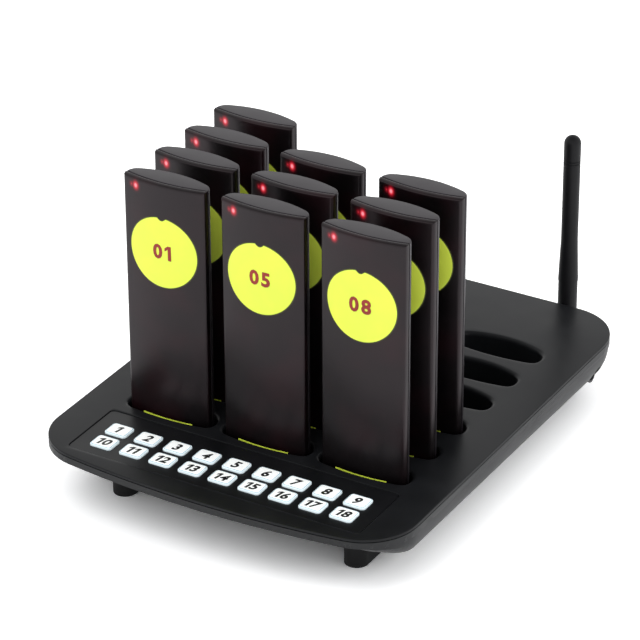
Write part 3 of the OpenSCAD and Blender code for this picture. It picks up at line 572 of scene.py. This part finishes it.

# %% [markdown]
# ## The keys
# Each key is a hard white cap with a narrow pale-blue bevel all round, a thin line where the bevel
# meets the top, and a bold slanted number. The cap is its outline carried up a profile: a flange under
# the panel, straight sides, a soft bevel and a top that is a hair higher in the middle. The faces get
# one of three finishes by how far they lie below the top; the top and the bevel finishes carry a faint
# painted glow that lifts them towards white, though no light is inside a key. The number could be a
# picture on the cap, but text turned into a thin mesh stays sharp from near and rides with its key.

# %% Key finishes
# Painted glow: a little white emission on the cap and a pale-blue one on the bevel lift them towards
# white.
key_white = plain(
    "key_white", srgb(252, 255, 255), 0.4, Emission_Color=(1, 1, 1, 1), Emission_Strength=0.1
)
key_bevel = plain(
    "key_bevel", srgb(230, 244, 250), 0.35, Emission_Color=(0.8, 0.93, 1, 1), Emission_Strength=0.06
)
key_line = plain("key_line", srgb(140, 188, 212), 0.35)
print_black = moulded("print_black", srgb(16, 16, 18), 0.45, 2500, 5e-6)
print("key finishes ready")


# %% A flag for the figure 1
def add_flag(sheet, size, thick):
    """Adds the short slanted stroke at the top left of a 1: a four-sided prism beside its stem."""
    co = np.zeros(len(sheet.vertices) * 3)
    sheet.vertices.foreach_get("co", co)
    stem, top = co.reshape(-1, 3).min(0)[0], co.reshape(-1, 3).max(0)[1]
    run, fall, width = 0.17 * size, 0.13 * size, 0.17 * size
    left, low = stem - run, top - fall
    outline = [(stem, top - width), (stem, top), (left, low), (left, low - width)]
    points = [(x, y, z) for z in (-thick / 2, thick / 2) for x, y in outline]
    sides = [(n, n + 4, (n + 1) % 4 + 4, (n + 1) % 4) for n in range(4)]
    flag = bpy.data.meshes.new("flag")
    flag.from_pydata(points, [], [(0, 1, 2, 3), (7, 6, 5, 4)] + sides)
    work = bmesh.new()
    work.from_mesh(sheet)
    work.from_mesh(flag)
    bmesh.ops.recalc_face_normals(work, faces=work.faces)
    work.to_mesh(sheet)
    work.free()


print("add_flag ready")


# %% Text as a thin print
def print_text(
    name, words, size, finish, body, bend, weight, shear=0.0, thick=0.04, gap=0.09
):
    """Text turned into a thin mesh, one character after another with an even gap.

    Shear slants it, weight makes its strokes bolder, and bend takes its flat points to their place.
    """
    work, right = bmesh.new(), 0.0
    for sign in words:
        curve = bpy.data.curves.new(name, "FONT")
        curve.body, curve.size, curve.offset = sign, size, weight
        curve.extrude, curve.resolution_u = thick / 2, 3
        writer = bpy.data.objects.new(name + "_writer", curve)
        bpy.context.scene.collection.objects.link(writer)
        bpy.context.view_layer.update()
        solved = writer.evaluated_get(bpy.context.evaluated_depsgraph_get())
        sheet = bpy.data.meshes.new_from_object(solved)
        bpy.data.objects.remove(writer)
        if sign == "1":
            add_flag(sheet, size, thick)
        flat = np.zeros(len(sheet.vertices) * 3)
        sheet.vertices.foreach_get("co", flat)
        flat = flat.reshape(-1, 3)
        flat[:, 0] += right - flat[:, 0].min()
        right = flat[:, 0].max() + gap * size
        sheet.vertices.foreach_set("co", flat.ravel())
        work.from_mesh(sheet)
    mesh = bpy.data.meshes.new(name)
    work.to_mesh(mesh)
    work.free()
    co = np.zeros(len(mesh.vertices) * 3)
    mesh.vertices.foreach_get("co", co)
    co = co.reshape(-1, 3)
    co[:, 0] += shear * co[:, 1]
    co[:, :2] -= (co[:, :2].min(0) + co[:, :2].max(0)) / 2
    co[:, 2] += thick / 2
    mesh.vertices.foreach_set("co", place(bend(co)).ravel())
    mesh.materials.append(finish)
    piece = bpy.data.objects.new(name, mesh)
    bpy.context.scene.collection.objects.link(piece)
    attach(piece, body)


print("print_text ready")

# %% Eighteen keys
key_outline = box_arcs(13.0, 11.0, 2.0)
flange_out, flange_thick, stem_radius, crown = 0.8, 0.9, 2.0, 0.04
bevel_below, line_below = 0.08, 0.03
for number in range(1, 19):
    name = f"key_{number:02d}"
    low, high = node_place(name)
    x, y, top = (low[0] + high[0]) / 2, (low[1] + high[1]) / 2, high[2]
    flange_high = panel_low[2] - 0.1
    flange_low = flange_high - flange_thick
    profile = [
        (flange_out, flange_low), (flange_out, flange_high), (0.0, flange_high), (0.0, top - 0.5),
        (-0.08, top - 0.36), (-0.6, top - 0.1), (-0.85, top - 0.02), (-1.0, top),
    ]
    walls = rings(key_outline, profile, 7, (x, y))
    stem = lathe([(stem_radius, flange_low), (stem_radius, low[2]), (0.0, low[2])], x, y, 24)
    ends = [cap(walls[0], (x, y, flange_low)), cap(walls[-1], (x, y, top + crown))]
    key = build(
        "key_cap_" + name[4:], [walls] + ends + [stem], name, [key_white, key_bevel, key_line],
        [name],
    )
    heights = np.zeros(3 * len(key.data.polygons))
    key.data.polygons.foreach_get("center", heights)
    down = top - (heights[2::3] - deck_top) * 1000
    shade = np.where(down > bevel_below, 1, np.where(down > line_below, 2, 0))
    key.data.polygons.foreach_set("material_index", shade.astype(np.int32))
    print_text(
        "key_number_" + name[4:], str(number), 8.2, print_black, name,
        lambda flat: flat + (x, y - 0.2, top + 0.02), weight=0.3, shear=0.22,
    )
print("keys: 18 caps, last one", len(key.data.polygons), "faces")

# %% [markdown]
# ## The pagers
# A pager is a slim block with a lens-shaped section. Its rear housing wraps round the back, and a front
# cover of smoked plastic closes it. Two small lamps lie behind the cover at its top left, and show as
# one soft red spot. A real light inside would need a clear cover and many bounces, so the spot is
# worked out on the cover instead: brightest at a lamp, and fading with the distance from it.

# %% Pager finishes
lamp_x, lamp_drop, twin_x = -15.9, 4.3, -18.7
tall = 0.78
glow_colours = [
    (0.3, (0.02, 0.0, 0.001, 1)), (0.52, (0.22, 0.003, 0.01, 1)), (0.7, (0.75, 0.03, 0.05, 1)),
    (0.88, (1.0, 0.34, 0.4, 1)),
]


def glow(made, places):
    """A lamp behind smoked plastic: light that fades with distance; heights count less, so it is tall.

    Each place is (x, z, size, level), from the middle and the top of the cover.
    """
    tree = made.node_tree
    marks = tree.nodes.new("ShaderNodeAttribute")
    marks.attribute_name = "marks"
    total = None
    for x, z, size, level in places:
        away = tree.nodes.new("ShaderNodeVectorMath")
        away.operation = "DISTANCE"
        away.inputs[1].default_value = (x, tall * z, 0)
        tree.links.new(marks.outputs["Vector"], away.inputs[0])
        near = tree.nodes.new("ShaderNodeMapRange")
        near.inputs["From Min"].default_value, near.inputs["From Max"].default_value = size, 0
        near.inputs["To Max"].default_value = level
        tree.links.new(away.outputs["Value"], near.inputs["Value"])
        if total is not None:
            both = tree.nodes.new("ShaderNodeMath")
            both.operation = "MAXIMUM"
            tree.links.new(total, both.inputs[0])
            tree.links.new(near.outputs["Result"], both.inputs[1])
            total = both.outputs["Value"]
        else:
            total = near.outputs["Result"]
    ramp = tree.nodes.new("ShaderNodeValToRGB")
    stops = ramp.color_ramp.elements
    stops[0].color = (0, 0, 0, 1)
    stops[1].position, stops[1].color = glow_colours[0]
    for position, colour in glow_colours[1:]:
        stops.new(position).color = colour
    shader = tree.nodes["Principled BSDF"]
    tree.links.new(total, ramp.inputs["Fac"])
    tree.links.new(ramp.outputs["Color"], shader.inputs["Emission Color"])
    shader.inputs["Emission Strength"].default_value = 1.0


cover_finish = moulded(
    "smoked_cover", srgb(6, 4, 5), 0.33, 700, 8e-6, IOR=1.46, Specular_Tint=(1, 0.87, 0.92, 1)
)
tint(cover_finish, noise(cover_finish, 38, 2), srgb(6, 4, 5), srgb(26, 7, 11), 0.45, 0.75)
glow(cover_finish, [(lamp_x, -lamp_drop, 3.9, 1.0), (twin_x, -lamp_drop, 2.9, 0.64)])
case_finish = moulded(
    "smoked_case", srgb(26, 23, 26), 0.36, 700, 8e-6, IOR=1.46, Specular_Tint=(1, 0.92, 1, 1)
)
label_finish = moulded("label_lime", srgb(236, 255, 84), 0.5, 1500, 4e-6, 0.03)
label_rim = moulded("label_rim", srgb(62, 70, 20), 0.5, 1500, 4e-6)
number_red = moulded("print_brown_red", srgb(150, 44, 36), 0.5, 1500, 4e-6)
print("pager finishes ready")

# %% Sizes of a pager
pager_low, pager_high = node_place("pager_01_cover")
pager_height = pager_high[2] - pager_low[2]
cover_thick, seam, groove = 2.9, 0.5, 0.35
no_mark = 500
front_centre = pager_front + pager_front_radius


def on_front(x, z, depth=0.0):
    """A point on the cover's cylinder: y = centre - sqrt((radius - depth)^2 - x^2)."""
    x = np.asarray(x, float)
    y = front_centre - np.sqrt((pager_front_radius - depth) ** 2 - x**2)
    return np.stack(np.broadcast_arrays(x, y, z), -1)


print("pager", 2 * pager_half, "wide,", round(pager_height, 1), "mm high")

# %% [markdown]
# ## The front cover
# The cover is a flat rounded plate bent over a cylinder. How deep a point lies depends only on how far
# it is from the nearest edge, so the fine bevel that catches the light is the same on all four sides. A
# bevelled box with a bend would do nearly the same, but its bevel would change a little in the bend.


# %% Front, back and wall of the cover
def cover_grids():
    """Front and back sheets of a bent plate and the wall between them, with its bevel, and their marks.

    A front point's mark is its place on the cover, for the glow; other marks are far from the lamps.
    """
    inset = np.array([0.0, 0.3, 0.38, 0.6, 1.0, 1.45])
    depth = np.array([2.0, 0.62, 0.46, 0.24, 0.08, 0.0])
    flat_half, flat_low = 22.6, 2.5
    flat_x = np.linspace(-flat_half, flat_half, 17)
    flat_z = np.linspace(flat_low, pager_height - flat_low, 12)
    x = np.concatenate([-pager_half + inset, flat_x, pager_half - inset[::-1]])
    z = np.concatenate([inset, flat_z, pager_height - inset[::-1]])
    gx, gz = np.meshgrid(x, z)
    edge = np.minimum(pager_half - abs(gx), np.minimum(gz, pager_height - gz))
    front = on_front(gx, gz, np.interp(edge, inset, depth))
    shrink = 1 - groove / np.array([pager_half, pager_height / 2])
    back = on_front(gx * shrink[0], (gz - pager_height / 2) * shrink[1] + pager_height / 2, cover_thick)
    wall = np.stack([around(front), around(on_front(gx, gz, cover_thick - groove)), around(back)])
    marks = np.stack([gx, tall * (gz - pager_height), 0 * gx], -1)
    wall_marks = np.stack([around(marks)] + [around(marks) + no_mark] * 2)
    return [front, back, wall], [marks, 0 * back + no_mark, wall_marks]


def around(grid):
    """The loop of points along a grid's four sides."""
    return np.concatenate([grid[0, :-1], grid[:-1, -1], grid[-1, :0:-1], grid[:, 0][::-1]])


cover, cover_marks = cover_grids()
print("cover front grid", cover[0].shape[:2])

# %% [markdown]
# ## The rear housing
# The housing wraps round the back and ends behind a dark seam. From above, its outline is the back arc
# with a round corner on each side, and its front follows the cover at an even distance. The outline is
# worked out again at each height, a little smaller near the top and the bottom, which rounds those
# edges. Straight lines from back to front close the two ends.


# %% The outline at each height
def case_loop(grow, steps=12):
    """Front arc behind the seam, then round rear corners and the back arc, all moved in by -grow."""
    corner, corner_x = back_corner, pager_half - back_corner
    back_y = pager_back - back_radius
    corner_y = back_y + math.sqrt((back_radius - corner) ** 2 - corner_x**2)
    front = pager_front_radius - cover_thick - seam
    reach, rho = math.hypot(corner_x, corner_y - front_centre), corner + grow
    toward = math.atan2(corner_y - front_centre, corner_x)
    start = toward + math.acos((front**2 - reach**2 - rho**2) / (2 * rho * reach))
    blend = math.atan2(corner_y - back_y, corner_x)
    a = np.linspace(start, blend, steps)
    right = np.stack([corner_x + rho * np.cos(a), corner_y + rho * np.sin(a)], -1)
    b = np.linspace(blend, HALF_TURN - blend, 2 * steps)[1:-1]
    back = np.stack([(back_radius + grow) * np.cos(b), back_y + (back_radius + grow) * np.sin(b)], -1)
    left = right[::-1] * (-1, 1)
    rear = np.concatenate([right, back, left])
    x = np.linspace(rear[0, 0], rear[-1, 0], len(rear))
    x = np.clip(x, rear[:, 0].min(), rear[:, 0].max())
    forward = np.stack([x, front_centre - np.sqrt(front**2 - x**2)], -1)
    return rear, forward


def case_grids():
    """Walls up the housing with rounded top and bottom edges, and ruled sheets that close it."""
    profile = [(-1.2, 0.0), (-0.5, 0.15), (-0.15, 0.5), (0.0, 1.2)]
    top_edge = [(0.0, 0.8), (-0.1, 0.36), (-0.36, 0.1), (-0.8, 0.0)]
    profile += [(grow, pager_height - down) for grow, down in top_edge]
    rears, fronts = [], []
    for grow, z in profile:
        rear, forward = case_loop(grow)
        rears.append(lift(rear, z))
        fronts.append(lift(forward, z))
    rears, fronts = np.stack(rears), np.stack(fronts)
    from_end = np.minimum(fronts[..., 2], pager_height - fronts[..., 2])
    edge = np.interp(from_end, [0, groove], [groove, 0])
    fronts[..., 1] += edge * np.clip(abs(fronts[:, :1, 0]) - abs(fronts[..., 0]), 0, 1)
    ends = [np.stack([rears[n], fronts[n]]) for n in (0, -1)]
    return [rears, fronts] + ends


case = case_grids()
print("housing grids", [g.shape[:2] for g in case])

# %% [markdown]
# ## The labels
# A pager has a round label with a small notch and a thin dark rim, and a lower label whose top shows
# above the slot. Both are films on a curved cover, so their points lie on the cover's own cylinder,
# set a little proud, with the border turned down to the plastic. A picture on the cover would be
# simpler, but a film has a real edge that catches the light.

# %% Two labels and a rim
label_proud, label_sunk = 0.14, 0.02


def label_grids(drop=38.9, radius=20.2, notch_half=2.1, notch_deep=1.7):
    """A thin disc on the cover with a small notch at its top: rays r(a) from its middle, set proud."""
    a = np.linspace(0, FULL_TURN, 145)
    off = np.abs(radius * np.cos(a))
    dip = notch_deep * np.sqrt(np.clip(1 - (off / notch_half) ** 2, 0, 1))
    edge = radius - np.where((np.sin(a) > 0) & (off < notch_half), dip, 0)

    def ring(t, depth):
        return on_front(t * edge * np.cos(a), pager_height - drop + t * edge * np.sin(a), depth)

    disc = [ring(t, -label_proud) for t in (0.0, 0.25, 0.5, 0.75, 0.97)]
    disc += [ring(0.99, -0.1), ring(0.99, label_sunk)]
    return np.stack(disc), np.stack([ring(0.985, -0.05), ring(1.012, -0.05), ring(1.02, label_sunk)])


def low_label_grid(half=15.0, z0=8.0, z1=18.6):
    """A thin rectangle on the cover, with its border turned down on to the plastic."""
    x = np.concatenate([[-half, -half], np.linspace(-half, half, 13), [half, half]])
    z = np.array([z0, z0, z0, z1, z1, z1])
    proud = np.full((len(z), len(x)), label_proud)
    proud[[0, -1], :] = -label_sunk
    proud[:, [0, -1]] = -label_sunk
    gx, gz = np.meshgrid(x, z)
    return on_front(gx, gz, -proud)


label, rim = label_grids()
low_label = low_label_grid()
print("label grid", label.shape[:2])

# %% [markdown]
# ## Ten pagers
# Four pagers stand in the left column and three in each of the others. All are the same grids moved to
# a slot, and each label gets its pager's number, bent over the cover by the same formula.

# %% Place the pagers
filled, number_drop, number_proud = (4, 3, 3), 38.4, 0.24
spots = [(x, slot_rows[row]) for x, count in zip(slot_columns, filled) for row in range(count)]
for number, (x, y) in enumerate(spots, 1):
    name, at = f"pager_{number:02d}", np.array([x, y, slot_floor])
    build(
        name + "_front", [g + at for g in cover], name, [cover_finish],
        [name + "_cover"], crease=50, marks=cover_marks,
    )
    build(
        name + "_case", [g + at for g in case], name, [case_finish], [name + "_housing"]
    )
    for film, grid, finish in [
        ("_label", label, label_finish), ("_label_rim", rim, label_rim),
        ("_low_label", low_label, label_finish),
    ]:
        build(name + film, [grid + at], name, [finish], crease=60)
    print_text(
        name + "_number", f"{number:02d}", 11.0, number_red, name,
        lambda flat: at + on_front(
            flat[:, 0], pager_height - number_drop + flat[:, 1], -number_proud - flat[:, 2]
        ),
        weight=0.42, thick=0.05, gap=0.13,
    )
    keep(name + "_circuit", board_finish)
print("pagers:", len(spots))

# %% [markdown]
# ## The table
# The object stands on a white table against white. A plain floor turns grey away from the lamps, and
# one that is bright enough would light the object from below. So Light Path gives the camera alone a
# second matt layer that lifts the table to white, and the table shines a little in reflections only.

# %% Floor
floor_mesh = bpy.data.meshes.new("floor")
reach = 6.0
floor_mesh.from_pydata(
    [(-reach, -reach, 0), (reach, -reach, 0), (reach, reach, 0), (-reach, reach, 0)], [], [(0, 1, 2, 3)]
)
floor = bpy.data.objects.new("floor", floor_mesh)
bpy.context.scene.collection.objects.link(floor)
floor_finish = bpy.data.materials.new("white_table")
floor_finish.use_nodes = True
tree = floor_finish.node_tree
tree.nodes.clear()
output = tree.nodes.new("ShaderNodeOutputMaterial")
matt = tree.nodes.new("ShaderNodeBsdfDiffuse")
matt.inputs["Color"].default_value = (0.86, 0.865, 0.875, 1)
own = tree.nodes.new("ShaderNodeEmission")
path = tree.nodes.new("ShaderNodeLightPath")


def seen_rays(tree, path, strength):
    """Strength for rays from the camera, in reflections and through glass, and none for the rest."""
    first, second, third = (tree.nodes.new("ShaderNodeMath") for _ in range(3))
    first.operation = second.operation = "MAXIMUM"
    tree.links.new(path.outputs["Is Camera Ray"], first.inputs[0])
    tree.links.new(path.outputs["Is Glossy Ray"], first.inputs[1])
    tree.links.new(first.outputs["Value"], second.inputs[0])
    tree.links.new(path.outputs["Is Transmission Ray"], second.inputs[1])
    third.operation = "MULTIPLY"
    third.inputs[1].default_value = strength
    tree.links.new(second.outputs["Value"], third.inputs[0])
    return third.outputs["Value"]


pale = tree.nodes.new("ShaderNodeBsdfDiffuse")
for ray, amount, socket in [
    ("Is Glossy Ray", 0.12, own.inputs["Strength"]), ("Is Camera Ray", 0.5, pale.inputs["Color"]),
]:
    only = tree.nodes.new("ShaderNodeMath")
    only.operation = "MULTIPLY"
    only.inputs[1].default_value = amount
    tree.links.new(path.outputs[ray], only.inputs[0])
    tree.links.new(only.outputs["Value"], socket)
both, table = (tree.nodes.new("ShaderNodeAddShader") for _ in range(2))
tree.links.new(matt.outputs["BSDF"], both.inputs[0])
tree.links.new(pale.outputs["BSDF"], both.inputs[1])
tree.links.new(both.outputs["Shader"], table.inputs[0])
tree.links.new(own.outputs["Emission"], table.inputs[1])
tree.links.new(table.outputs["Shader"], output.inputs["Surface"])
floor_mesh.materials.append(floor_finish)
print("floor", 2 * reach, "m wide")

# %% [markdown]
# ## The light
# Black plastic shows what it reflects, so white surroundings do most of the work. Light Path keeps them
# bright for the camera and in reflections, without more light on the object, and darker overhead, as a
# ceiling is. Three large square lamps add light from the left front, the right side and the rear; small
# ones would throw hard shadows, and the photo has soft ones.

# %% Surroundings
world = bpy.data.worlds.new("studio")
bpy.context.scene.world = world
world.use_nodes = True
tree = world.node_tree
sky = tree.nodes["Background"]
sky.inputs["Color"].default_value = (1, 1, 1, 1)
path = tree.nodes.new("ShaderNodeLightPath")
fill_light, ceiling, ceiling_start, ceiling_end = 0.62, 0.3, 0.55, 0.9
where = tree.nodes.new("ShaderNodeTexCoord")
parts = tree.nodes.new("ShaderNodeSeparateXYZ")
tree.links.new(where.outputs["Generated"], parts.inputs["Vector"])
fade = tree.nodes.new("ShaderNodeMapRange")
for socket, number in [
    ("From Min", ceiling_start), ("From Max", ceiling_end), ("To Min", 1.0), ("To Max", ceiling),
]:
    fade.inputs[socket].default_value = number
tree.links.new(parts.outputs["Z"], fade.inputs["Value"])
choose = tree.nodes.new("ShaderNodeMix")
choose.inputs["A"].default_value = fill_light
tree.links.new(seen_rays(tree, path, 1.0), choose.inputs["Factor"])
tree.links.new(fade.outputs["Result"], choose.inputs["B"])
tree.links.new(choose.outputs["Result"], sky.inputs["Strength"])
print("fill light", fill_light)


# %% Lamps
aim = Vector((0, 0, 0.05))


def softbox(name, place_at, size, watts):
    """A square area lamp that faces the object."""
    data = bpy.data.lights.new(name, "AREA")
    data.shape, data.size, data.energy = "SQUARE", size, watts
    lamp = bpy.data.objects.new(name, data)
    bpy.context.scene.collection.objects.link(lamp)
    lamp.visible_glossy = False
    turn = (Vector(place_at) - aim).to_track_quat("Z", "Y")
    lamp.matrix_world = Matrix.Translation(place_at) @ turn.to_matrix().to_4x4()


softbox("key_lamp", (-0.6, -1.1, 1.5), 1.6, 21)
softbox("side_lamp", (1.6, 0.1, 0.9), 1.2, 14)
softbox("rear_lamp", (0.5, 1.4, 1.6), 1.6, 14)
print("lamps ready")
